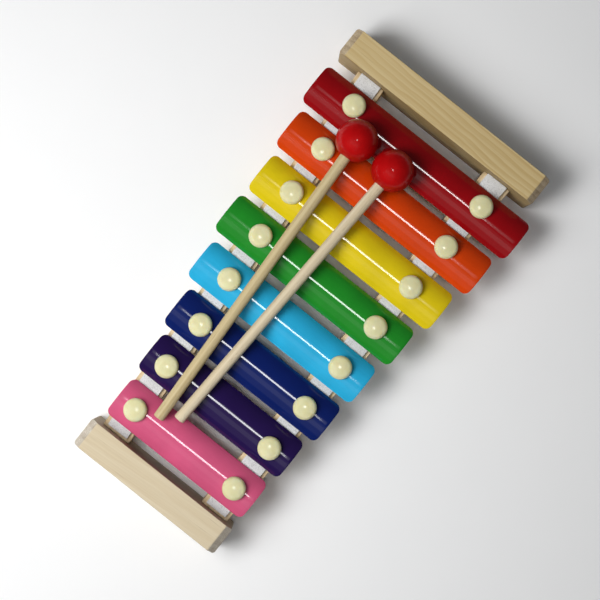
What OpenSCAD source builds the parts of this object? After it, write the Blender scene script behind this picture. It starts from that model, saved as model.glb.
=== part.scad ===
// Eight-note toy xylophone. Arched metal tone bars lie on two foam-topped rails
// between two wooden end blocks, and a pair of loose mallets lies on the bars.
// +X runs along the bars, +Y from the short bars to the long ones, and +Z is up.
// The origin is on the table, midway between the outer faces of the end blocks.

/* [Overall] */
// Length over the outer faces of the two end blocks
overall_l = 240; // [238:1:260]

/* [End blocks] */
// Height of both end blocks, which are also the feet
block_h = 28; // [26:0.5:32]
// Thickness of each end block
block_t = 15; // [14:0.5:15]
// Length of the block beside the longest bar
large_block_l = 118; // [110:1:130]
// Length of the block beside the shortest bar
small_block_l = 85.5; // [80:0.5:100]
// Distance from the middle of the instrument to the longer block's middle
large_block_x = -1.8; // [-2:0.1:2]
// Distance from the middle of the instrument to the shorter block's middle
small_block_x = -0.9; // [-2:0.1:2]
// Size of the 45 degree cut on both upper ends of a block
block_chamfer = 3.6; // [1:0.1:6]
// Radius of the blocks' upright edges
block_edge_r = 1.4; // [0.5:0.1:3]

/* [Rails] */
// Width of each rail
rail_w = 15.5; // [14:0.5:17]
// Thickness of each rail
rail_t = 10; // [9:0.5:12]
// Height of the rails' top faces above the table
rail_top_z = 18; // [16:0.5:19]

/* [Foam strips] */
// Width of the strip on each rail
foam_w = 11.6; // [8:0.1:13]
// Thickness of the strips
foam_t = 2; // [1:0.1:3]
// Bare rail between the strips' ends and the small end block
foam_gap = 1.5; // [0:0.1:3]

/* [Tone bars] */
// Distance from one bar's pegs to the next bar's
bar_pitch = 25.5; // [25:0.1:25.6]
// Width of every bar, seen from above
bar_w = 21.5; // [18:0.5:21.5]
// Thickness of the bars' sheet metal
bar_t = 1; // [0.8:0.1:1.5]
// Length of the longest bar
bar_long_l = 124.5; // [122:0.5:130]
// How much shorter a bar is for each semitone that it sounds higher
semitone_l = 3.5; // [3:0.1:3.6]
// Rise of a bar's middle above its long edges
bar_rise = 4.5; // [3:0.1:6]
// Radius of the bars' corners, seen from above
bar_corner_r = 3; // [1:0.1:5]
// How far a bar can lift before it meets the heads of its pegs
bar_play = 0.5; // [0.2:0.1:1]

/* [Pegs] */
// Diameter of the domed peg heads
peg_head_d = 11.5; // [9:0.1:12]
// Radius of the low dome on a peg head
peg_dome_r = 17; // [8:0.5:30]
// Radius of the peg heads' rounded edge
peg_edge_r = 2.2; // [1:0.1:3]
// Diameter of the peg shafts
peg_shaft_d = 4.2; // [3.5:0.1:4.5]
// Diameter of the holes in the bars
bar_hole_d = 5.6; // [5.2:0.1:6.5]
// Distance from the middle to a peg of the longest bar
peg_long_x = 38.8; // [36:0.1:42]
// Distance from the middle to a peg of the shortest bar
peg_short_x = 30; // [28:0.1:32]

/* [Dowels] */
// Diameter of the dowels that hold the rails to the end blocks
dowel_d = 6; // [5:0.5:7]
// Length of the dowels, half of it in each piece
dowel_l = 20; // [14:1:22]

/* [Mallets] */
// Diameter of the ball heads
head_d = 20.5; // [18:0.5:22]
// Diameter of the sticks
stick_d = 5.6; // [4.5:0.1:6]

/* [Hidden] */
$fn = 64;

// Semitones of the major scale above the lowest note, one for each bar
note_steps = [0, 2, 4, 5, 7, 9, 11, 12];
bar_names = ["dark_red", "orange", "yellow", "green", "light_blue", "navy", "purple", "pink"];
bar_colors = ["#8c1019", "#d2400f", "#e0c81e", "#1f8a2c", "#35aad8", "#1b2a66", "#33235a", "#d8608c"];
// Each bar is drilled by hand, so it lies a little off the middle, and its holes
// lie a little off its centre line
bar_offsets_x = [1.3, 1.2, 0.5, -1.8, -1.5, 0.2, 0.5, 0.5];
bar_offsets_y = [-2.3, -1.3, -0.8, -0.3, -0.4, 0.2, 1.1, 0.5];
bar_count = len(note_steps);
first_peg_y = (bar_count - 1) * bar_pitch / 2;
block_inner_y = overall_l / 2 - block_t;

// The pegs of a side stand in a row, apart from one that is set in by hand
row_taper = (peg_long_x - peg_short_x) / (2 * first_peg_y);
peg_insets = [[0, 0, 0, 0, 0, 1.5, 0, 0], [0, 0, 0, 0, 0, 0, 0, 0]];
// Middle lines of the left and right rails, where they meet each end block
rail_large_x = [-40.3, 37.5];
rail_small_x = [-30.6, 29.7];
sides = [-1, 1];
side_names = ["left", "right"];
peg_depth = 8;
peg_rim_h = 0.6;
peg_fit = 0.05;
foam_hole_gap = 0.4;

dowel_fit = 0.05;
dowel_end_gap = 0.5;
end_names = ["large_end", "small_end"];

// A bar's section is an arc of sheet, cut square to the sheet at both edges
arch_r = (pow(bar_w / 2, 2) + pow(bar_rise, 2)) / (2 * bar_rise);
arch_half_angle = asin(bar_w / 2 / arch_r);
arch_h = arch_r - (arch_r - bar_t) * cos(arch_half_angle);
clearance = 0.1;
foam_top_z = rail_top_z + foam_t;
crown_z = foam_top_z + clearance + arch_h;
arch_axis_z = crown_z - arch_r;
peg_seat_z = crown_z + bar_play + clearance;

// The ball heads sit between the first two bars, leaning on the first, and each
// stick slopes down to a bar near the other end. They clear the bars' whole travel.
mallet_count = 2;
mallet_head_x = [-27, -5];
mallet_tail_x = [-19, -11];
mallet_reach = [161.5, 155.5];
mallet_lean_y = [1.4, 0.8];
mallet_rest_bar = [7, 6];
mallet_gap = bar_play + 0.2;
mallet_names = ["first", "second"];
head_hole_depth = 14;
head_hole_fit = 0.05;
stick_rest_z = crown_z + stick_d / 2 + mallet_gap;
cut = 1;

function peg_y(i) = first_peg_y - i * bar_pitch;
function bar_y(i) = peg_y(i) + bar_offsets_y[i];
function bar_l(i) = bar_long_l - note_steps[i] * semitone_l;
function peg_x(s, i) =
    sides[s] * (peg_long_x - (first_peg_y - peg_y(i)) * row_taper - peg_insets[s][i]);
function rail_x(s, y) =
    rail_large_x[s] + (rail_small_x[s] - rail_large_x[s]) * (block_inner_y - y) / (2 * block_inner_y);
function bar_node(i) = str(bar_names[i], "_tone_bar");
function peg_node(s, i) = str(side_names[s], "_peg_", i + 1);
function rail_node(s) = str(side_names[s], "_rail");
function foam_node(s) = str(side_names[s], "_foam_strip");
function dowel_node(e, s) = str(end_names[e], "_", side_names[s], "_dowel");
function head_node(m) = str(mallet_names[m], "_mallet_head");
function stick_node(m) = str(mallet_names[m], "_mallet_stick");
function end_y(e) = e == 0 ? block_inner_y : -block_inner_y;
function mallet_head_y(m) = (bar_y(0) + bar_y(1)) / 2 + mallet_lean_y[m];
function mallet_head_z(m) =
    arch_axis_z + mallet_gap
    + sqrt(pow(arch_r + head_d / 2, 2) - pow(bar_y(0) - mallet_head_y(m), 2));
function mallet_pitch(m) =
    atan((mallet_head_z(m) - stick_rest_z) / (mallet_head_y(m) - bar_y(mallet_rest_bar[m])));
function mallet_yaw(m) =
    asin((mallet_tail_x[m] - mallet_head_x[m]) / (mallet_reach[m] * cos(mallet_pitch(m))));

// A rectangle with round corners, centred on the origin
module rounded_rect(size_x, size_y, r) {
    square([size_x - 2 * r, size_y], center = true);
    square([size_x, size_y - 2 * r], center = true);
    for (x = sides, y = sides)
        translate([x * (size_x / 2 - r), y * (size_y / 2 - r)]) circle(r = r);
}

// Holes for the dowels in the inner face of one end block or of both rails
module dowel_holes(e) {
    depth = dowel_l / 2 + dowel_end_gap;
    for (s = [0:1])
        translate([rail_x(s, end_y(e)), end_y(e) - depth, rail_top_z - rail_t / 2])
            rotate([-90, 0, 0]) cylinder(h = 2 * depth, d = dowel_d + 2 * dowel_fit);
}

// An end block stands on edge, and both its upper ends are cut off at 45 degrees
module end_block(e, length, mid_x) {
    half_l = length / 2;
    shoulder_z = block_h - block_chamfer;
    outline = [
        [-half_l, 0], [half_l, 0], [half_l, shoulder_z], [half_l - block_chamfer, block_h],
        [block_chamfer - half_l, block_h], [-half_l, shoulder_z]
    ];
    mid_y = end_y(e) + sign(end_y(e)) * block_t / 2;
    color("#ccb98f") difference() {
        intersection() {
            translate([mid_x, mid_y + block_t / 2, 0])
                rotate([90, 0, 0]) linear_extrude(block_t) polygon(outline);
            translate([mid_x, mid_y, 0])
                linear_extrude(block_h) rounded_rect(length, block_t, block_edge_r);
        }
        dowel_holes(e);
    }
}

// A straight strip along the middle line of one rail
module rail_strip(s, width, low_y, high_y, thickness) {
    x_low = rail_x(s, low_y);
    x_high = rail_x(s, high_y);
    linear_extrude(thickness) polygon([
        [x_low - width / 2, low_y], [x_low + width / 2, low_y],
        [x_high + width / 2, high_y], [x_high - width / 2, high_y]
    ]);
}

module peg_holes(s, diameter, low_z, depth) {
    for (i = [0:bar_count - 1])
        translate([peg_x(s, i), peg_y(i), low_z])
            cylinder(h = depth, d = diameter);
}

module rail(s) {
    color("#c2a878") difference() {
        translate([0, 0, rail_top_z - rail_t])
            rail_strip(s, rail_w, -block_inner_y, block_inner_y, rail_t);
        peg_holes(s, peg_shaft_d + 2 * peg_fit, rail_top_z - peg_depth - peg_fit, peg_depth + cut);
        for (e = [0:1]) dowel_holes(e);
    }
}

module foam_strip(s) {
    color("#d8d8d8") difference() {
        translate([0, 0, rail_top_z])
            rail_strip(s, foam_w, foam_gap - block_inner_y, block_inner_y, foam_t);
        peg_holes(s, peg_shaft_d + foam_hole_gap, rail_top_z - cut, foam_t + 2 * cut);
    }
}

module dowel(e, s) {
    color("#c9ae7c")
        translate([rail_x(s, end_y(e)), end_y(e) - dowel_l / 2, rail_top_z - rail_t / 2])
            rotate([-90, 0, 0]) cylinder(h = dowel_l, d = dowel_d);
}

// Half the section of a peg head: a short rim, a rounded edge and a low dome
module peg_head_section() {
    edge_x = peg_head_d / 2 - peg_edge_r;
    blend = asin(edge_x / (peg_dome_r - peg_edge_r));
    dome_z = peg_rim_h - (peg_dome_r - peg_edge_r) * cos(blend);
    edge_steps = 8;
    dome_steps = 5;
    edge = [for (k = [0:edge_steps]) let (a = (90 - blend) * k / edge_steps)
        [edge_x + peg_edge_r * cos(a), peg_rim_h + peg_edge_r * sin(a)]];
    dome = [for (k = [1:dome_steps]) let (a = blend * (1 - k / dome_steps))
        [peg_dome_r * sin(a), dome_z + peg_dome_r * cos(a)]];
    polygon(concat([[0, 0], [peg_head_d / 2, 0]], edge, dome));
}

// A peg's shaft stands in the rail, and its head stops above the bar's crown
module peg(s, i) {
    shaft_l = peg_seat_z - rail_top_z + peg_depth;
    color("#e2dcb4") translate([peg_x(s, i), peg_y(i), peg_seat_z]) {
        translate([0, 0, -shaft_l]) cylinder(h = shaft_l + peg_rim_h, d = peg_shaft_d);
        rotate_extrude() peg_head_section();
    }
}

module tone_bar(i) {
    length = bar_l(i);
    color(bar_colors[i]) difference() {
        translate([bar_offsets_x[i], bar_y(i), 0]) intersection() {
            translate([-length / 2 - cut, 0, arch_axis_z])
                rotate([90, 0, 90])
                    rotate([0, 0, 90 - arch_half_angle])
                        rotate_extrude(angle = 2 * arch_half_angle)
                            translate([arch_r - bar_t, 0]) square([bar_t, length + 2 * cut]);
            translate([0, 0, foam_top_z])
                linear_extrude(arch_h + cut)
                    rounded_rect(length, bar_w + clearance, bar_corner_r);
        }
        for (s = [0:1]) peg_holes(s, bar_hole_d, foam_top_z, arch_h + cut);
    }
}

// Moves a mallet from its own frame, where the head is at the origin and the
// stick runs towards -Y, to its place on the bars
module on_bars(m) {
    translate([mallet_head_x[m], mallet_head_y(m), mallet_head_z(m)])
        rotate([mallet_pitch(m), 0, mallet_yaw(m)]) children();
}

module mallet_head(m) {
    hole_start = head_hole_depth - head_d / 2;
    color("#b01218") on_bars(m) difference() {
        sphere(d = head_d);
        translate([0, hole_start + head_hole_fit, 0])
            rotate([90, 0, 0]) cylinder(h = head_d, d = stick_d + 2 * head_hole_fit);
    }
}

module mallet_stick(m) {
    hole_start = head_hole_depth - head_d / 2;
    color("#d9c8a0") on_bars(m)
        translate([0, hole_start, 0])
            rotate([90, 0, 0]) cylinder(h = mallet_reach[m] + hole_start, d = stick_d);
}

end_block(0, large_block_l, large_block_x);  // large_end_block
end_block(1, small_block_l, small_block_x);  // small_end_block
for (s = [0:1]) {
    rail(s);
    foam_strip(s);
    for (e = [0:1]) dowel(e, s);
    for (i = [0:bar_count - 1]) peg(s, i);
}
for (i = [0:bar_count - 1]) tone_bar(i);
for (m = [0:mallet_count - 1]) {
    mallet_head(m);
    mallet_stick(m);
}
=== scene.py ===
"""Looks for the toy xylophone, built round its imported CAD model. Lengths are in metres."""
import math
import random

import bmesh
import bpy
import numpy as np
from mathutils import Matrix, Vector, noise


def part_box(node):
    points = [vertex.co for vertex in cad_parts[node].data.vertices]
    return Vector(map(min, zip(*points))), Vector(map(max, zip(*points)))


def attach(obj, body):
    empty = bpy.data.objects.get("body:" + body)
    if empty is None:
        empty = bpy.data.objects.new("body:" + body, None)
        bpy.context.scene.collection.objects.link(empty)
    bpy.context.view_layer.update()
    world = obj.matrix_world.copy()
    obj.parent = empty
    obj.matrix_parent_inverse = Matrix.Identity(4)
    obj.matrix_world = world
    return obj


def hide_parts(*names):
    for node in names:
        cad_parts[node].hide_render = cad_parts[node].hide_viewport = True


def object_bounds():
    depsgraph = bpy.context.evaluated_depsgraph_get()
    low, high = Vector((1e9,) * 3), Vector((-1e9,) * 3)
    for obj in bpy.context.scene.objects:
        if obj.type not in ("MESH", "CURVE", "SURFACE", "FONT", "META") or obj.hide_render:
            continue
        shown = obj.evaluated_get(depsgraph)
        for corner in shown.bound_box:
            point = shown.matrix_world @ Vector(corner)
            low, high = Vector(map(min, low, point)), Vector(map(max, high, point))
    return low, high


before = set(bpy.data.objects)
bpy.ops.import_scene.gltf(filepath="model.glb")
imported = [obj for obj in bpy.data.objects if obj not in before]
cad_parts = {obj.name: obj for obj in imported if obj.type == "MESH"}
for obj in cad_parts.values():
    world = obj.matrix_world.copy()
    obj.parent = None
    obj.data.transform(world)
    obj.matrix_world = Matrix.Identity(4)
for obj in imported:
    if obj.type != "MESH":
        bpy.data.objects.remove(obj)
cad_low, cad_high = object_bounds()

MM = 0.001
BAR_NAMES = ["dark_red", "orange", "yellow", "green", "light_blue", "navy", "purple", "pink"]
SIDES = ["left", "right"]
MALLETS = ["first", "second"]

# Sizes that a node's box doesn't give
SHEET = 1.0 * MM  # Thickness of a bar's metal
BAR_CORNER = 3.0 * MM
BAR_HOLE_RADIUS = 2.8 * MM
HOLE_PATCH = 1.5 * BAR_HOLE_RADIUS  # Half the side of the square of quads round a hole
HOLE_CELLS = 8  # Quads along that square's side
BAR_END_STEPS = (0.3 * MM, 0.6 * MM, 0.9 * MM, 1.3 * MM)  # Rows of points next to a bar's end
BAR_END_DROP = 0.2 * MM  # How far the very end turns down
BAR_EASE = 0.22 * MM  # Rounding of the cut edges
PEG_RIM = 0.6 * MM  # Height of the head's upright rim
PEG_EDGE_RADIUS = 2.2 * MM
PEG_DOME_RADIUS = 17 * MM
PEG_SHAFT_RADIUS = 2.1 * MM
PEG_LEAN = (1.6, 0.6)  # Most degrees about X and about Y
BLOCK_CHAMFER = 3.6 * MM
BLOCK_EDGE = 1.4 * MM  # Rounding of the upright edges
BLOCK_EASE = 0.5 * MM  # Rounding of the other edges
STICK_RADIUS = 2.8 * MM

WHITE = (1.0, 1.0, 1.0, 1.0)


# ---------------------------------------------------------------- meshes

def link_mesh(name, mesh):
    """An object with this mesh in the scene, shaded smooth."""
    mesh.polygons.foreach_set("use_smooth", [True] * len(mesh.polygons))
    piece = bpy.data.objects.new(name, mesh)
    bpy.context.scene.collection.objects.link(piece)
    return piece


def make_object(name, points, faces):
    """An object in the scene from points and faces."""
    mesh = bpy.data.meshes.new(name)
    mesh.from_pydata([tuple(p) for p in points], [], faces)
    mesh.validate()
    mesh.update()
    return link_mesh(name, mesh)


def finish_piece(piece, body, nodes, material):
    """Puts a piece on its body, in place of its CAD nodes, with its material."""
    piece.data.materials.append(material)
    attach(piece, body)
    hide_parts(*nodes)


def bevel(piece, width, segments, angle):
    """Rounds a piece's edges that turn by more than angle degrees. Its flats stay flat in shading."""
    rounding = piece.modifiers.new("rounded_edges", "BEVEL")
    rounding.width = width
    rounding.segments = segments
    rounding.limit_method = "ANGLE"
    rounding.angle_limit = math.radians(angle)
    rounding.harden_normals = True


def spread(low, high, count):
    """count + 1 evenly spaced values from low to high."""
    return [low + (high - low) * i / count for i in range(count + 1)]


def lathe(name, profile, segments=64):
    """A closed solid of revolution about Z. The profile runs from axis to axis, as (radius, z)."""
    points, rings = [], []
    for radius, z in profile:
        on_axis = radius < 0.0001 * MM
        count = 1 if on_axis else segments
        rings.append(range(len(points), len(points) + count))
        for i in range(count):
            turn = 2 * math.pi * i / count
            points.append((radius * math.cos(turn), radius * math.sin(turn), z))
    faces = []
    for low, high in zip(rings, rings[1:]):
        for i in range(segments):
            j = (i + 1) % segments
            if len(low) == 1:
                faces.append((low[0], high[j], high[i]))
            elif len(high) == 1:
                faces.append((low[i], low[j], high[0]))
            else:
                faces.append((low[i], low[j], high[j], high[i]))
    return make_object(name, points, faces)


def arc(centre_r, centre_z, radius, start, end, steps):
    """Points (r, z) on an arc of a lathe's profile or a strip's section, from start to end degrees."""
    return [
        (centre_r + radius * math.cos(math.radians(a)), centre_z + radius * math.sin(math.radians(a)))
        for a in spread(start, end, steps)
    ]


def wobble(piece, size, wavelength, seed, frozen_low):
    """Sinks a piece's points by up to size, as hand-finished wood is uneven. Points below the
    height frozen_low stay, so the piece still stands flat."""
    offset = Vector((seed * 7.31, seed * 3.17, seed * 5.73))
    for vertex in piece.data.vertices:
        if vertex.co.z >= frozen_low:
            amount = noise.noise(vertex.co / wavelength + offset)
            vertex.co -= vertex.normal * size * (0.5 + 0.5 * amount)
    piece.data.update()


# ---------------------------------------------------------------- node helpers

def wire(tree, node, inputs):
    """Sets a node's sockets, or links them where the value is another node's socket."""
    for key, value in inputs.items():
        socket = node.inputs[key]
        if isinstance(value, bpy.types.NodeSocket):
            tree.links.new(value, socket)
        else:
            socket.default_value = value


def add(tree, kind, inputs, **settings):
    """A new shader node with these settings and inputs."""
    node = tree.nodes.new(kind)
    for key, value in settings.items():
        setattr(node, key, value)
    wire(tree, node, inputs)
    return node


def linear(red, green, blue):
    """A colour given as 8-bit sRGB, in the linear values that shaders take."""
    def channel(c):
        c /= 255
        return c / 12.92 if c <= 0.04045 else ((c + 0.055) / 1.055) ** 2.4
    return (channel(red), channel(green), channel(blue), 1.0)


def shade(color, factor):
    """A colour made lighter or darker."""
    return tuple(c * factor for c in color[:3]) + (1.0,)


def mixed(a, b, share):
    """A colour between a and b."""
    return tuple((1 - share) * x + share * y for x, y in zip(a, b))


def math_node(tree, operation, a, b=0.0):
    return add(tree, "ShaderNodeMath", {0: a, 1: b}, operation=operation).outputs[0]


def vector_math(tree, operation, a, b=(0.0, 0.0, 0.0), output="Vector"):
    return add(tree, "ShaderNodeVectorMath", {0: a, 1: b}, operation=operation).outputs[output]


def mix_color(tree, factor, a, b, blend="MIX"):
    """Colour a where factor is 0, and b, or a blended with b, where it is 1."""
    node = add(tree, "ShaderNodeMix", {0: factor, 6: a, 7: b}, data_type="RGBA", blend_type=blend)
    return node.outputs[2]


def rescale(tree, value, low, high, to_low=0.0, to_high=1.0):
    """Maps low..high to to_low..to_high, clamped."""
    node = add(tree, "ShaderNodeMapRange", {0: value, 1: low, 2: high, 3: to_low, 4: to_high})
    return node.outputs[0]


def ramp(tree, value, stops):
    """A colour ramp with stops of (place, colour)."""
    node = add(tree, "ShaderNodeValToRGB", {0: value})
    elements = node.color_ramp.elements
    while len(elements) < len(stops):
        elements.new(0.5)
    for element, (place, color) in zip(elements, stops):
        element.position = place
        element.color = color
    return node.outputs[0]


def place_coords(tree, scale=(1, 1, 1), rotation=(0, 0, 0), shift=(0, 0, 0)):
    """The place on the piece in its own axes, in metres where scale is 1."""
    coords = add(tree, "ShaderNodeTexCoord", {}).outputs["Object"]
    inputs = {"Vector": coords, "Scale": scale, "Rotation": rotation, "Location": shift}
    return add(tree, "ShaderNodeMapping", inputs).outputs[0]


def stretch(tree, vector, scale):
    return add(tree, "ShaderNodeMapping", {"Vector": vector, "Scale": scale}).outputs[0]


def noise_node(tree, vector, scale, detail=2.0, roughness=0.5, distortion=0.0):
    inputs = {"Vector": vector, "Scale": scale, "Detail": detail, "Roughness": roughness}
    return add(tree, "ShaderNodeTexNoise", {**inputs, "Distortion": distortion})


def noise_value(tree, vector, scale, **settings):
    """Noise from 0 to 1, with scale cells per metre."""
    return noise_node(tree, vector, scale, **settings).outputs["Fac"]


def streaky_noise(tree, scale, detail=2.0, roughness=0.5, **placing):
    """Noise with its own number of cells per metre along each axis, which draws it out."""
    coords = place_coords(tree, scale=scale, **placing)
    return noise_value(tree, coords, 1.0, detail=detail, roughness=roughness)


def bump(tree, height, distance, strength, normal=None):
    """A normal that follows height, on top of another bump's normal where one is given."""
    inputs = {"Strength": strength, "Distance": distance, "Height": height}
    if normal is not None:
        inputs["Normal"] = normal
    return add(tree, "ShaderNodeBump", inputs).outputs[0]


def new_material(name):
    """(material, its tree, its Principled shader)."""
    material = bpy.data.materials.new(name)
    material.use_nodes = True
    tree = material.node_tree
    tree.nodes.clear()
    shader = add(tree, "ShaderNodeBsdfPrincipled", {})
    add(tree, "ShaderNodeOutputMaterial", {"Surface": shader.outputs[0]})
    return material, tree, shader


# ---------------------------------------------------------------- materials

def enamel(name, color):
    """Glossy stoved enamel on sheet metal, with faint mottling, rubbed streaks and worn edges."""
    material, tree, shader = new_material(name)
    coords = place_coords(tree)
    mottle = noise_value(tree, coords, 70, detail=4)
    base = mix_color(tree, rescale(tree, mottle, 0.35, 0.7), shade(color, 0.93), shade(color, 1.05))
    streaks = streaky_noise(tree, (14, 420, 420), detail=4, roughness=0.6)
    rubbed = rescale(tree, streaks, 0.56, 0.78)
    base = mix_color(tree, math_node(tree, "MULTIPLY", rubbed, 0.1), base, shade(color, 1.6))
    rim = add(tree, "ShaderNodeAttribute", {}, attribute_name="rim").outputs["Fac"]
    chipped = rescale(tree, noise_value(tree, coords, 900, detail=3), 0.45, 0.6, 0.0, 0.35)
    base = mix_color(tree, math_node(tree, "MULTIPLY", chipped, rim), base, shade(color, 0.55))
    surface = bump(tree, streaky_noise(tree, (30, 90, 90)), 0.12 * MM, 0.2)
    surface = bump(tree, streaky_noise(tree, (9, 330, 330)), 0.03 * MM, 0.22, surface)
    rough = rescale(tree, rubbed, 0, 1, 0.07, 0.2)
    wire(tree, shader, {"Base Color": base, "Roughness": rough, "Normal": surface})
    return material


def year_rings(tree, board, ring_gap):
    """0 to 1 across every year's ring round the board's X axis. The rings are bent and uneven."""
    warped = board
    for cells, reach in (((18, 48, 48), 6.5 * MM), ((75, 210, 210), 1.3 * MM)):
        bend = noise_node(tree, stretch(tree, board, cells), 1.0).outputs["Color"]
        bent = vector_math(tree, "MULTIPLY", bend, (0.0, reach, reach))
        warped = vector_math(tree, "ADD", warped, bent)
    across = vector_math(tree, "MULTIPLY", warped, (0.0, 1.0, 1.0))
    radius = vector_math(tree, "LENGTH", across, output="Value")
    return math_node(tree, "FRACT", math_node(tree, "DIVIDE", radius, ring_gap))


def end_grain(tree, year, seed, light, dark, contrast):
    """Sawn end grain: open pores and stains between light and dark, with the rings in it."""
    speckle = noise_value(tree, place_coords(tree), 2200, detail=3, roughness=0.75)
    stain = noise_value(tree, place_coords(tree, shift=(seed, 0, 0)), 150, detail=3, roughness=0.6)
    soiled = math_node(tree, "ADD", rescale(tree, speckle, 0.35, 0.7, 0.0, 0.6),
                       rescale(tree, stain, 0.35, 0.65, 0.0, 0.4))
    wood = mix_color(tree, soiled, light, dark)
    stops = [(0.0, WHITE), (0.5, (0.86, 0.83, 0.8, 1.0)), (0.86, (0.6, 0.52, 0.46, 1.0)), (1.0, WHITE)]
    return mix_color(tree, contrast, wood, ramp(tree, year, stops), "MULTIPLY")


def pine(name, early, late, seed, ring_gap=3.2 * MM, grain_turn=0.0, centre=(0.004, -0.03),
         along="X", contrast=1.0, side_shade=1.0, end_light=linear(214, 197, 166),
         end_dark=linear(132, 106, 78), end_contrast=0.5):
    """Planed pine. Rings round a pith beside the board show as stripes along the grain and as
    arcs on the ends. early and late are the colours of soft and hard wood, and centre is the
    pith's place across the board. side_shade darkens the faces along the board's sides with painted
    shade."""
    material, tree, shader = new_material(name)
    turn = (0, 0, grain_turn if along == "X" else grain_turn - math.pi / 2)
    board = place_coords(tree, rotation=turn, shift=(seed * 0.37, *centre))
    year = year_rings(tree, board, ring_gap)
    rings = ramp(tree, year, [(0.0, early), (0.5, mixed(early, late, 0.45)), (0.86, late), (1.0, early)])
    base = mix_color(tree, contrast, early, rings)

    fibres = noise_value(tree, stretch(tree, board, (14, 900, 900)), 1.0, detail=4, roughness=0.65)
    base = mix_color(tree, rescale(tree, fibres, 0.3, 0.75, 0.0, 0.55), base, shade(late, 0.92))
    patches = noise_value(tree, stretch(tree, board, (18, 48, 48)), 0.6)
    base = mix_color(tree, rescale(tree, patches, 0.35, 0.7, 0.0, 0.35), base, shade(early, 1.08))
    pores = streaky_noise(tree, (60, 1600, 1600), rotation=turn)
    base = mix_color(tree, rescale(tree, pores, 0.66, 0.74, 0.0, 0.3), base, shade(late, 0.6))

    facing = add(tree, "ShaderNodeTexCoord", {}).outputs["Normal"]
    split = add(tree, "ShaderNodeSeparateXYZ", {0: facing})
    end_axis, side_axis = (0, 1) if along == "X" else (1, 0)
    ends = rescale(tree, math_node(tree, "ABSOLUTE", split.outputs[end_axis]), 0.35, 0.6)
    base = mix_color(tree, ends, base, end_grain(tree, year, seed, end_light, end_dark, end_contrast))
    # Painted shade: the faces along the board's sides are darkened and browned by a set factor
    shaded_sides = rescale(tree, math_node(tree, "ABSOLUTE", split.outputs[side_axis]), 0.6, 0.8)
    base = mix_color(tree, shaded_sides, base, (side_shade, side_shade * 0.97, side_shade * 0.94, 1.0), "MULTIPLY")

    relief = math_node(tree, "ADD", math_node(tree, "MULTIPLY", fibres, 0.6),
                       math_node(tree, "MULTIPLY", year, 0.4))
    surface = bump(tree, relief, 0.08 * MM, 0.35)
    rough = rescale(tree, fibres, 0.3, 0.7, 0.5, 0.68)
    wire(tree, shader, {"Base Color": base, "Roughness": rough, "Normal": surface})
    wire(tree, shader, {"Specular IOR Level": 0.35})
    return material


def birch(name, seed, light, dark):
    """The sticks' smooth bare birch, with its grain along local Z."""
    material, tree, shader = new_material(name)
    streaks = streaky_noise(tree, (700, 700, 9), detail=4, roughness=0.6, shift=(seed, seed * 2, 0))
    base = mix_color(tree, rescale(tree, streaks, 0.3, 0.72), light, dark)
    bands = streaky_noise(tree, (60, 60, 14), shift=(seed * 3, 0, seed))
    base = mix_color(tree, rescale(tree, bands, 0.4, 0.68, 0.0, 0.5), base, mixed(light, dark, 0.5))
    flecks = streaky_noise(tree, (1500, 1500, 90), shift=(0, seed, 0))
    base = mix_color(tree, rescale(tree, flecks, 0.66, 0.74, 0.0, 0.35), base, linear(150, 120, 80))
    surface = bump(tree, streaks, 0.06 * MM, 0.4)
    rough = rescale(tree, streaks, 0.3, 0.7, 0.45, 0.62)
    wire(tree, shader, {"Base Color": base, "Roughness": rough, "Normal": surface})
    wire(tree, shader, {"Specular IOR Level": 0.4})
    return material


def foam():
    """White closed-cell foam with fine pores and a slight soiled tone."""
    material, tree, shader = new_material("white_foam")
    coords = place_coords(tree)
    cells = add(tree, "ShaderNodeTexVoronoi", {"Vector": coords, "Scale": 2200.0}).outputs["Distance"]
    grime = noise_value(tree, coords, 120, detail=4)
    base = mix_color(tree, rescale(tree, grime, 0.35, 0.75), linear(226, 227, 228), linear(212, 212, 210))
    base = mix_color(tree, rescale(tree, cells, 0.5, 0.8, 0.0, 0.5), base, linear(172, 172, 171))
    fuzz = noise_value(tree, coords, 2600, detail=3)
    surface = bump(tree, cells, 0.15 * MM, 0.5)
    surface = bump(tree, fuzz, 0.1 * MM, 0.4, surface)
    wire(tree, shader, {"Base Color": base, "Roughness": 0.85, "Normal": surface})
    wire(tree, shader, {"Specular IOR Level": 0.2})
    return material


def cream_plastic():
    """Moulded cream plastic, slightly translucent, with faint flow marks."""
    material, tree, shader = new_material("cream_plastic")
    coords = place_coords(tree)
    flow = noise_value(tree, coords, 160, detail=3, distortion=0.6)
    base = mix_color(tree, rescale(tree, flow, 0.35, 0.7), linear(229, 225, 183), linear(219, 213, 163))
    specks = noise_value(tree, coords, 1400)
    base = mix_color(tree, rescale(tree, specks, 0.68, 0.76, 0.0, 0.25), base, linear(170, 150, 110))
    surface = bump(tree, noise_value(tree, coords, 420), 0.08 * MM, 0.3)
    surface = bump(tree, noise_value(tree, coords, 2600), 0.02 * MM, 0.4, surface)
    rough = rescale(tree, flow, 0.3, 0.7, 0.12, 0.2)
    wire(tree, shader, {"Base Color": base, "Roughness": rough, "Normal": surface})
    wire(tree, shader, {"Subsurface Weight": 0.5, "Subsurface Scale": 4 * MM})
    wire(tree, shader, {"Subsurface Radius": (1.0, 0.8, 0.5)})
    return material


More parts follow.
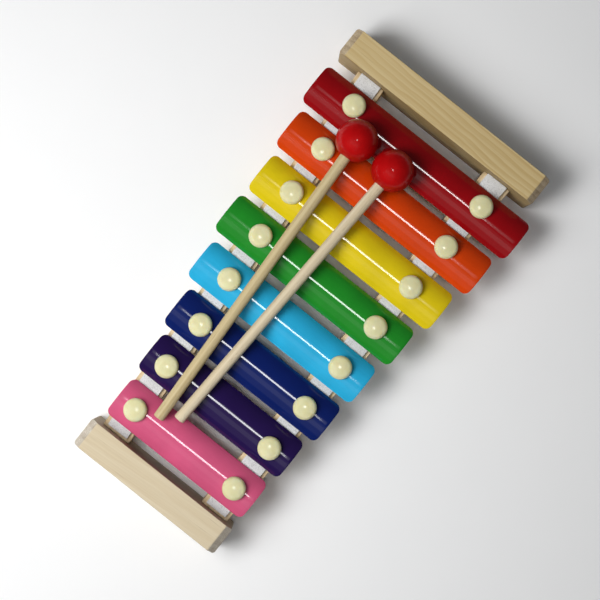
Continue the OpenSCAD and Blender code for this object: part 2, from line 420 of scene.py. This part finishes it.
def red_lacquer():
    """Gloss red lacquer over a turned wooden ball, with the lathe's faint rings showing through."""
    material, tree, shader = new_material("red_lacquer")
    coords = place_coords(tree)
    mottle = noise_value(tree, coords, 150, detail=4)
    base = mix_color(tree, rescale(tree, mottle, 0.35, 0.7), linear(166, 9, 12), linear(182, 12, 14))
    knocks = noise_value(tree, coords, 500, detail=4, roughness=0.7)
    base = mix_color(tree, rescale(tree, knocks, 0.66, 0.8, 0.0, 0.5), base, linear(105, 8, 12))
    surface = bump(tree, streaky_noise(tree, (30, 30, 900), detail=3), 0.05 * MM, 0.35)
    surface = bump(tree, noise_value(tree, coords, 260), 0.15 * MM, 0.3, surface)
    rough = rescale(tree, mottle, 0.3, 0.7, 0.38, 0.46)
    wire(tree, shader, {"Base Color": base, "Roughness": rough, "Normal": surface})
    wire(tree, shader, {"Specular IOR Level": 0.08, "Coat Weight": 0.34, "Coat Roughness": 0.05})
    return material


def floor_material():
    """Plain matt white, very slightly uneven."""
    material, tree, shader = new_material("floor")
    grain = noise_value(tree, place_coords(tree), 40, detail=3)
    base = mix_color(tree, grain, shade(WHITE, 0.95), shade(WHITE, 0.97))
    wire(tree, shader, {"Base Color": base, "Roughness": 0.9, "Specular IOR Level": 0.1})
    return material


# ---------------------------------------------------------------- tone bars

def arch_radius(width, height):
    """Outer radius of an arched sheet whose chord is width and whose cut edges hang height below
    its crown, found by halving the range it lies in."""
    half = width / 2
    low, high = half, 20 * half
    for _ in range(60):
        radius = (low + high) / 2
        cosine = math.sqrt(1 - (half / radius) ** 2)
        if radius - (radius - SHEET) * cosine > height:
            low = radius
        else:
            high = radius
    return radius


def plan_rows(half, hole_y):
    """The plan's y values, close together at the corners and the holes, and the index of the
    first row of the holes' patches."""
    shoulder = half - BAR_CORNER
    corner = [shoulder + BAR_CORNER * math.sin(math.radians(a)) for a in (18, 36, 52, 66, 79, 90)]
    lower = [-y for y in reversed(corner)] + spread(-shoulder, hole_y - HOLE_PATCH, 3)[:-1]
    patch = spread(hole_y - HOLE_PATCH, hole_y + HOLE_PATCH, HOLE_CELLS)
    return lower + patch + spread(hole_y + HOLE_PATCH, shoulder, 3)[1:] + corner, len(lower)


def plan_columns(stops):
    """The plan's x values. stops are both ends of the bar and of every hole's patch."""
    x_low, x_high = stops[0], stops[-1]
    columns = [x_low] + [x_low + step for step in BAR_END_STEPS]
    for i, (a, b) in enumerate(zip(stops, stops[1:])):
        count = HOLE_CELLS if i % 2 else max(2, round((b - a) / (4 * MM)))
        columns += [x for x in spread(a, b, count)[1:] if x_low + 2 * MM < x < x_high - 2 * MM]
    return columns + [x_high - step for step in reversed(BAR_END_STEPS)] + [x_high]


def hole_rings(points, ring, middle):
    """Adds two rings of points between a patch's border and its round hole. Returns the quads."""
    quads = []
    outline = [Vector(points[i]) for i in ring]
    for share in (0.5, 1.0):
        inner = list(range(len(points), len(points) + len(ring)))
        for border_point in outline:
            on_hole = middle + (border_point - middle).normalized() * BAR_HOLE_RADIUS
            points.append(tuple(border_point.lerp(on_hole, share)))
        for i in range(len(ring)):
            j = (i + 1) % len(ring)
            quads.append((ring[i], ring[j], inner[j], inner[i]))
        ring = inner
    return quads


def bar_plan(x_low, x_high, half, hole_xs, hole_y):
    """The bar's flat plan as (points, quads), with y from -half to half, round corners and a
    round hole in a square patch at every hole x."""
    stops = [x_low]
    for x in hole_xs:
        stops += [x - HOLE_PATCH, x + HOLE_PATCH]
    stops.append(x_high)
    rows, first_row = plan_rows(half, hole_y)
    columns = plan_columns(stops)

    def inset(y):
        over = abs(y) - (half - BAR_CORNER)
        return BAR_CORNER - math.sqrt(max(BAR_CORNER**2 - over**2, 0)) if over > 0 else 0.0

    def column_x(x, y):
        if x < stops[1]:
            return stops[1] - (stops[1] - x) * (stops[1] - x_low - inset(y)) / (stops[1] - x_low)
        if x > stops[-2]:
            return stops[-2] + (x - stops[-2]) * (x_high - inset(y) - stops[-2]) / (x_high - stops[-2])
        return x

    points = [(column_x(x, y), y) for y in rows for x in columns]
    width = len(columns)
    hole_cells = set()
    quads = []
    side = range(HOLE_CELLS)
    for hole, x in enumerate(hole_xs):
        start = columns.index(stops[2 * hole + 1])
        hole_cells |= {(first_row + i, start + j) for i in side for j in side}
        border = [(first_row, start + i) for i in side]
        border += [(first_row + i, start + HOLE_CELLS) for i in side]
        border += [(first_row + HOLE_CELLS, start + HOLE_CELLS - i) for i in side]
        border += [(first_row + HOLE_CELLS - i, start) for i in side]
        quads += hole_rings(points, [r * width + c for r, c in border], Vector((x, hole_y)))
    for r in range(len(rows) - 1):
        for c in range(width - 1):
            if (r, c) not in hole_cells:
                i = r * width + c
                quads.append((i, i + 1, i + width + 1, i + width))
    return points, quads


def thicken(name, plan, quads, outer, inner):
    """A closed solid between two surfaces over one plan. outer and inner turn (x, y) into a
    point. The attribute rim marks the cut edges."""
    count = len(plan)
    points = [outer(*p) for p in plan] + [inner(*p) for p in plan]
    faces = list(quads) + [tuple(reversed([i + count for i in quad])) for quad in quads]
    shaded_sides = dict.fromkeys((a, b) for quad in quads for a, b in zip(quad, quad[1:] + quad[:1]))
    rim = [(a, b) for a, b in shaded_sides if (b, a) not in shaded_sides]
    faces += [(b, a, a + count, b + count) for a, b in rim]
    piece = make_object(name, points, faces)
    on_rim = {i for pair in rim for i in pair}
    attribute = piece.data.attributes.new("rim", "FLOAT", "POINT")
    attribute.data.foreach_set("value", [float(i % count in on_rim) for i in range(2 * count)])
    return piece


def tone_bar(name, index, color):
    """An arched metal bar with its two peg holes. Its two ends turn down a little."""
    low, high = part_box(name + "_tone_bar")
    half = (high.y - low.y) / 2
    mid_y = (high.y + low.y) / 2
    radius = arch_radius(2 * half, high.z - low.z)
    axis_z = high.z - radius
    pegs = [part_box(f"{side}_peg_{index + 1}") for side in SIDES]
    hole_xs = [(peg_low.x + peg_high.x) / 2 for peg_low, peg_high in pegs]
    hole_y = (pegs[0][0].y + pegs[0][1].y) / 2 - mid_y
    plan, quads = bar_plan(low.x, high.x, half, hole_xs, hole_y)

    def surface(at_radius):
        def point(x, y):
            sine = y / radius
            near_end = max(0, 1 - min(x - low.x, high.x - x) / BAR_END_STEPS[-1])
            drop = BAR_END_DROP * near_end**2
            return (x, mid_y + at_radius * sine, axis_z - drop + at_radius * math.sqrt(1 - sine * sine))
        return point

    bar = thicken(name + "_bar_plate", plan, quads, surface(radius), surface(radius - SHEET))
    bevel(bar, BAR_EASE, segments=2, angle=50)
    finish_piece(bar, name + "_bar", [name + "_tone_bar"],
                 enamel(name + "_enamel", color))


# ---------------------------------------------------------------- pegs

def peg(side, index, material, chance):
    """A mushroom-headed peg: a shaft with a flared neck, a rim, a rounded edge and a low dome.
    It leans a little, and is turned, by chance."""
    node = f"{side}_peg_{index + 1}"
    low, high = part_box(node)
    head = (high.x - low.x) / 2
    edge_x = head - PEG_EDGE_RADIUS
    blend = math.degrees(math.asin(edge_x / (PEG_DOME_RADIUS - PEG_EDGE_RADIUS)))
    dome_z = high.z - low.z - PEG_DOME_RADIUS
    edge_z = dome_z + (PEG_DOME_RADIUS - PEG_EDGE_RADIUS) * math.cos(math.radians(blend))
    seat = edge_z - PEG_RIM
    lip = 0.25 * MM
    neck, neck_bend = 0.3 * MM, 0.08 * MM
    tip_inset, tip_height = 0.4 * MM, 0.6 * MM
    shaft = PEG_SHAFT_RADIUS
    profile = [(0, 0), (shaft - tip_inset, 0), (shaft, tip_height), (shaft, seat - neck)]
    profile += [(shaft + neck_bend, seat - neck_bend), (shaft + neck, seat)]
    profile += [(head - 3 * lip, seat)] + arc(head - lip, seat + lip, lip, -90, 0, 4)
    profile += arc(edge_x, edge_z, PEG_EDGE_RADIUS, 0, 90 - blend, 14)
    profile += arc(0, dome_z, PEG_DOME_RADIUS, 90 - blend, 90, 8)[1:]
    piece = lathe(node + "_pin", profile, segments=56)
    tilts = [math.radians(chance.uniform(-reach, reach)) for reach in PEG_LEAN]
    leaned = Matrix.Rotation(tilts[0], 4, "X") @ Matrix.Rotation(tilts[1], 4, "Y")
    turned = Matrix.Rotation(chance.uniform(0, 2 * math.pi), 4, "Z")
    head_place = Vector(((low.x + high.x) / 2, (low.y + high.y) / 2, low.z + seat))
    down = Matrix.Translation((0, 0, -seat))
    piece.matrix_world = Matrix.Translation(head_place) @ leaned @ turned @ down
    finish_piece(piece, "frame", [node], material)


# ---------------------------------------------------------------- wooden frame

def end_block(name, seed):
    """A block with rounded upright edges, both upper ends cut off, and all edges eased."""
    low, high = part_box(name)
    size = high - low
    bm = bmesh.new()
    bmesh.ops.create_cube(bm, size=1.0)
    bmesh.ops.scale(bm, vec=size, verts=bm.verts)
    bmesh.ops.translate(bm, vec=(low + high) / 2, verts=bm.verts)
    upright = [e for e in bm.edges if abs(e.verts[0].co.z - e.verts[1].co.z) > size.z / 2]
    bmesh.ops.bevel(bm, geom=upright, offset=BLOCK_EDGE, segments=5, profile=0.5, affect="EDGES")
    for side in (-1, 1):
        end_x = high.x if side > 0 else low.x
        cutter = {"plane_co": (end_x - side * BLOCK_CHAMFER, 0, high.z), "plane_no": (side, 0, 1)}
        whole = bm.verts[:] + bm.edges[:] + bm.faces[:]
        made = bmesh.ops.bisect_plane(bm, geom=whole, clear_outer=True, **cutter)
        cut_edges = [g for g in made["geom_cut"] if isinstance(g, bmesh.types.BMEdge)]
        bmesh.ops.contextual_create(bm, geom=cut_edges)
    # Cuts across the long faces, so that the wobble has points to move
    for x in spread(low.x + 2 * BLOCK_CHAMFER, high.x - 2 * BLOCK_CHAMFER, 22):
        whole = bm.verts[:] + bm.edges[:] + bm.faces[:]
        bmesh.ops.bisect_plane(bm, geom=whole, plane_co=(x, 0, 0), plane_no=(1, 0, 0))
    bm.normal_update()
    sharp = [e for e in bm.edges if len(e.link_faces) == 2 and e.calc_face_angle() > math.radians(30)]
    bmesh.ops.bevel(bm, geom=sharp, offset=BLOCK_EASE, segments=3, profile=0.5, affect="EDGES")
    mesh = bpy.data.meshes.new(name + "_board")
    bm.to_mesh(mesh)
    bm.free()
    piece = link_mesh(name + "_board", mesh)
    wobble(piece, size=0.16 * MM, wavelength=16 * MM, seed=seed, frozen_low=0.2 * MM)
    shading = piece.modifiers.new("flat_faces", "WEIGHTED_NORMAL")
    shading.keep_sharp = True
    return piece


def row_line(node):
    """(centre x at the low y end, centre x at the high y end, width) of a strip that follows a
    row of pegs."""
    points = np.array([v.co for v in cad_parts[node].data.vertices])
    low_y, high_y = points[:, 1].min(), points[:, 1].max()
    at_low = points[points[:, 1] < low_y + 0.01 * MM][:, 0]
    at_high = points[points[:, 1] > high_y - 0.01 * MM][:, 0]
    width = at_low.max() - at_low.min()
    return (at_low.min() + at_low.max()) / 2, (at_high.min() + at_high.max()) / 2, width


def strip_section(half, low_z, high_z, rounding):
    """A strip's cross section as (x, z): a rounded rectangle with more points along its top."""
    reach, bottom, top = half - rounding, low_z + rounding, high_z - rounding
    section = arc(reach, top, rounding, 0, 90, 3)
    section += [(half * share, high_z) for share in (0.6, 0.2, -0.2, -0.6)]
    section += arc(-reach, top, rounding, 90, 180, 3) + arc(-reach, bottom, rounding, 180, 270, 3)
    return section + arc(reach, bottom, rounding, 270, 360, 3)


def strip(name, node, step, rounding, dent=None):
    """A straight strip along a row of pegs, with rounded edges and a ring of points about every
    step along it. dent gives how far its top is pressed in at y."""
    low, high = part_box(node)
    x_low, x_high, width = row_line(node)
    section = strip_section(width / 2, low.z, high.z, rounding)
    count = len(section)
    ys = spread(low.y, high.y, max(2, round((high.y - low.y) / step)))
    end_inset = 0.6 * rounding
    rings = [(ys[0], end_inset), (ys[0] + end_inset, 0)] + [(y, 0) for y in ys[1:-1]]
    rings += [(ys[-1] - end_inset, 0), (ys[-1], end_inset)]
    points, faces = [], []
    for y, shrink in rings:
        middle = x_low + (x_high - x_low) * (y - low.y) / (high.y - low.y)
        for x, z in section:
            upper = z > (low.z + high.z) / 2
            press = dent(y) if dent and upper else 0.0
            x_in = x - math.copysign(min(shrink, abs(x)), x)
            z_in = z - shrink if upper else z + shrink
            points.append((middle + x_in, y, z_in - press))
    for ring in range(len(rings) - 1):
        a, b = ring * count, (ring + 1) * count
        for i in range(count):
            j = (i + 1) % count
            faces.append((a + i, b + i, b + j, a + j))
    faces.append(tuple(range(count)))
    faces.append(tuple(reversed(range((len(rings) - 1) * count, len(rings) * count))))
    return make_object(name, points, faces)


def bar_edges():
    """The y of every bar's long edges, where the bars rest on the foam."""
    edges = []
    for name in BAR_NAMES:
        low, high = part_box(name + "_tone_bar")
        edges += [low.y, high.y]
    return edges


def foam_dent(y, edges):
    """How far the foam is pressed in at y by the bars' edges."""
    depth, reach = 0.12 * MM, 1.1 * MM
    return sum(depth * math.exp(-(((y - edge) / reach) ** 2)) for edge in edges)


# ---------------------------------------------------------------- mallets

def stick_line(node):
    """(end in the head, free end) of a stick, from its CAD mesh."""
    points = np.array([v.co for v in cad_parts[node].data.vertices])
    middle = points.mean(axis=0)
    axis = np.linalg.svd(points - middle)[2][0]
    axis = axis if axis[1] > 0 else -axis
    along = (points - middle) @ axis
    near = points[along > along.max() - 0.1 * MM].mean(axis=0)
    far = points[along < along.min() + 0.1 * MM].mean(axis=0)
    return Vector(near), Vector(far)


def aim(origin, target):
    """A matrix that puts local Z along the line from origin to target."""
    return Matrix.Translation(origin) @ (target - origin).to_track_quat("Z", "Y").to_matrix().to_4x4()


def build_stick(name, near, far, seed):
    """A stick that is slightly uneven along its length, with eased ends."""
    length = (far - near).length
    ease, unevenness = 0.35 * MM, 0.03 * MM
    profile = [(0, 0)]
    for z in [0.0] + spread(ease, length - ease, 40) + [length]:
        eased = ease if z in (0.0, length) else 0.0
        bulge = unevenness * noise.noise(Vector((z * 60, seed * 5.3, 0)))
        profile.append((STICK_RADIUS - unevenness - eased + bulge, z))
    profile.append((0, length))
    stick = lathe(name + "_stick_rod", profile, segments=40)
    stick.matrix_world = aim(near, far)
    finish_piece(stick, name + "_mallet", [name + "_mallet_stick"],
                 birch(name + "_stick_wood", seed, *STICK_COLORS[name]))


def build_ball(name, along, lacquer):
    """A ball with the mouth of its bore round the stick. along points down the stick."""
    low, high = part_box(name + "_mallet_head")
    ball = (high.z - low.z) / 2
    centre = Vector(((low.x + high.x) / 2, high.y - ball, (low.z + high.z) / 2))
    hole = STICK_RADIUS + 0.05 * MM
    lip, depth = 0.5 * MM, 5 * MM
    rounding = [(0.22 * MM, 0.02 * MM), (0.04 * MM, 0.2 * MM), (0, lip)]  # (out, down) at the mouth
    mouth = math.degrees(math.acos((hole + lip) / ball))
    mouth_z = ball * math.sin(math.radians(mouth))
    profile = [(0, -ball)] + arc(0, 0, ball, -88, mouth, 60)
    profile += [(hole + out, mouth_z - down) for out, down in rounding]
    profile += [(hole, mouth_z - depth), (0, mouth_z - depth)]
    head = lathe(name + "_ball_head", profile, segments=96)
    head.matrix_world = aim(centre, centre + along)
    finish_piece(head, name + "_mallet", [name + "_mallet_head"], lacquer)


# ---------------------------------------------------------------- the object

BAR_COLORS = {
    "dark_red": linear(147, 9, 16),
    "orange": linear(210, 65, 10),
    "yellow": linear(224, 199, 22),
    "green": linear(34, 138, 40),
    "light_blue": linear(44, 175, 221),
    "navy": linear(13, 31, 95),
    "purple": linear(36, 20, 72),
    "pink": linear(210, 89, 127),
}

STICK_COLORS = {
    "first": (linear(210, 194, 153), linear(187, 165, 120)),
    "second": (linear(225, 212, 184), linear(202, 183, 149)),
}


def build_frame():
    """The two end blocks, the rails with their foam pads, and the dowels' wood."""
    edges = bar_edges()
    # Both end blocks get painted shade on their long side faces
    large = pine("large_block_wood", linear(214, 194, 147), linear(189, 158, 101), seed=1.3,
                 ring_gap=3.1 * MM, grain_turn=math.radians(1.2), centre=(0.012, -0.028),
                 contrast=0.75, side_shade=0.62)
    small = pine("small_block_wood", linear(219, 205, 177), linear(199, 178, 141), seed=4.1,
                 ring_gap=6.5 * MM, grain_turn=math.radians(-3.5), centre=(-0.02, -0.05),
                 contrast=0.4, side_shade=0.62, end_light=linear(224, 218, 206),
                 end_dark=linear(158, 140, 116), end_contrast=0.35)
    for seed, (name, wood) in enumerate([("large", large), ("small", small)], start=1):
        block = end_block(name + "_end_block", seed)
        finish_piece(block, "frame", [name + "_end_block"], wood)
    foam_look = foam()
    for number, side in enumerate(SIDES):
        x_low, x_high, _ = row_line(side + "_rail")
        low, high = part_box(side + "_rail")
        lean = math.atan2(x_high - x_low, high.y - low.y)
        wood = pine(side + "_rail_wood", linear(232, 212, 178), linear(202, 174, 128),
                    seed=7.7 + number, ring_gap=3.4 * MM, grain_turn=lean,
                    centre=(0.02 * (1 - 2 * number), -0.03), along="Y", contrast=0.8)
        rail = strip(side + "_rail_batten", side + "_rail", step=6 * MM, rounding=0.4 * MM)
        finish_piece(rail, "frame", [side + "_rail"], wood)
        pad = strip(side + "_foam_pad", side + "_foam_strip", step=0.6 * MM, rounding=0.3 * MM,
                    dent=lambda y: foam_dent(y, edges))
        finish_piece(pad, "frame", [side + "_foam_strip"], foam_look)
    # The dowels stay as their CAD meshes
    dowel_wood = pine("dowel_wood", linear(212, 190, 144), linear(186, 156, 106), seed=11.0, along="Y")
    for node, cad_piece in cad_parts.items():
        if node.endswith("_dowel"):
            cad_piece.data.materials.clear()
            cad_piece.data.materials.append(dowel_wood)


def build_bars_and_pegs():
    """The eight bars and the two pegs through each, with the pegs' leans by seeded chance."""
    chance = random.Random(5)
    plastic = cream_plastic()
    for index, name in enumerate(BAR_NAMES):
        tone_bar(name, index, BAR_COLORS[name])
        for side in SIDES:
            peg(side, index, plastic, chance)


def build_mallets():
    """The two mallets, which share one lacquer and have sticks of their own wood."""
    lacquer = red_lacquer()
    for number, name in enumerate(MALLETS):
        near, far = stick_line(name + "_mallet_stick")
        build_stick(name, near, far, 2.0 + number)
        build_ball(name, far - near, lacquer)


# ---------------------------------------------------------------- studio

def build_floor():
    """A square floor just under the object."""
    reach = 3.0
    corners = [(-reach, -reach, 0), (reach, -reach, 0), (reach, reach, 0), (-reach, reach, 0)]
    floor = make_object("floor", corners, [(0, 1, 2, 3)])
    floor.location.z = cad_low.z - 0.02 * MM
    floor.data.materials.append(floor_material())


# name: (place, (width, height), radiance of its face, whether gloss shows it)
PANELS = {
    "lamp_core": ((0.0, -0.11, 3.2), (0.42, 0.30), 20, True),
    "lamp_surround": ((0.0, -0.11, 3.22), (0.9, 0.7), 0.5, True),
    "bounce_narrow": ((0.0, -0.88, 1.6), (1.7, 0.55), 0.4, True),
    "bounce_wide": ((0.0, -1.1, 1.5), (2.2, 1.7), 0.2, True),
    "key_panel": ((-0.38, -0.44, 0.68), (0.45, 0.45), 6.25, False),
    "top_panel": ((-0.16, -0.12, 0.45), (0.2, 0.2), 7.8, False),
}


def build_lights():
    """A dim world, and soft panels that face the object. No camera sees the panels."""
    world = bpy.data.worlds.new("studio")
    world.use_nodes = True
    background = world.node_tree.nodes["Background"]
    background.inputs["Color"].default_value = (0.86, 0.93, 1.0, 1.0)
    background.inputs["Strength"].default_value = 0.045
    bpy.context.scene.world = world
    middle = Vector((0, 0, 0.02))
    for name, (place, (width, height), radiance, mirrored) in PANELS.items():
        data = bpy.data.lights.new(name, "AREA")
        data.shape = "RECTANGLE"
        data.size = width
        data.size_y = height
        data.energy = radiance * math.pi * width * height
        light = bpy.data.objects.new(name, data)
        light.visible_glossy = mirrored
        light.visible_camera = False
        facing = (middle - Vector(place)).to_track_quat("-Z", "Y").to_matrix().to_4x4()
        light.matrix_world = Matrix.Translation(place) @ facing
        bpy.context.scene.collection.objects.link(light)


def build_camera():
    """The photograph's view: nearly straight down, with the large end block to the upper right."""
    data = bpy.data.cameras.new("camera")
    data.sensor_width = 36
    data.lens = 85.8
    camera = bpy.data.objects.new("camera", data)
    bpy.context.scene.collection.objects.link(camera)
    place = Vector((2.2 * MM, -9.0 * MM, 708 * MM))
    target = Vector((-1.4 * MM, 0.9 * MM, 0))
    picture_up = Vector((-0.6225, 0.7826, 0))
    forward = (target - place).normalized()
    right = forward.cross(picture_up).normalized()
    up = right.cross(forward)
    turned = Matrix((right, up, -forward)).transposed().to_4x4()
    camera.matrix_world = Matrix.Translation(place) @ turned
    bpy.context.scene.camera = camera


build_camera()
build_floor()
build_lights()
build_frame()
build_bars_and_pegs()
build_mallets()
bpy.context.scene.view_settings.view_transform = "Standard"
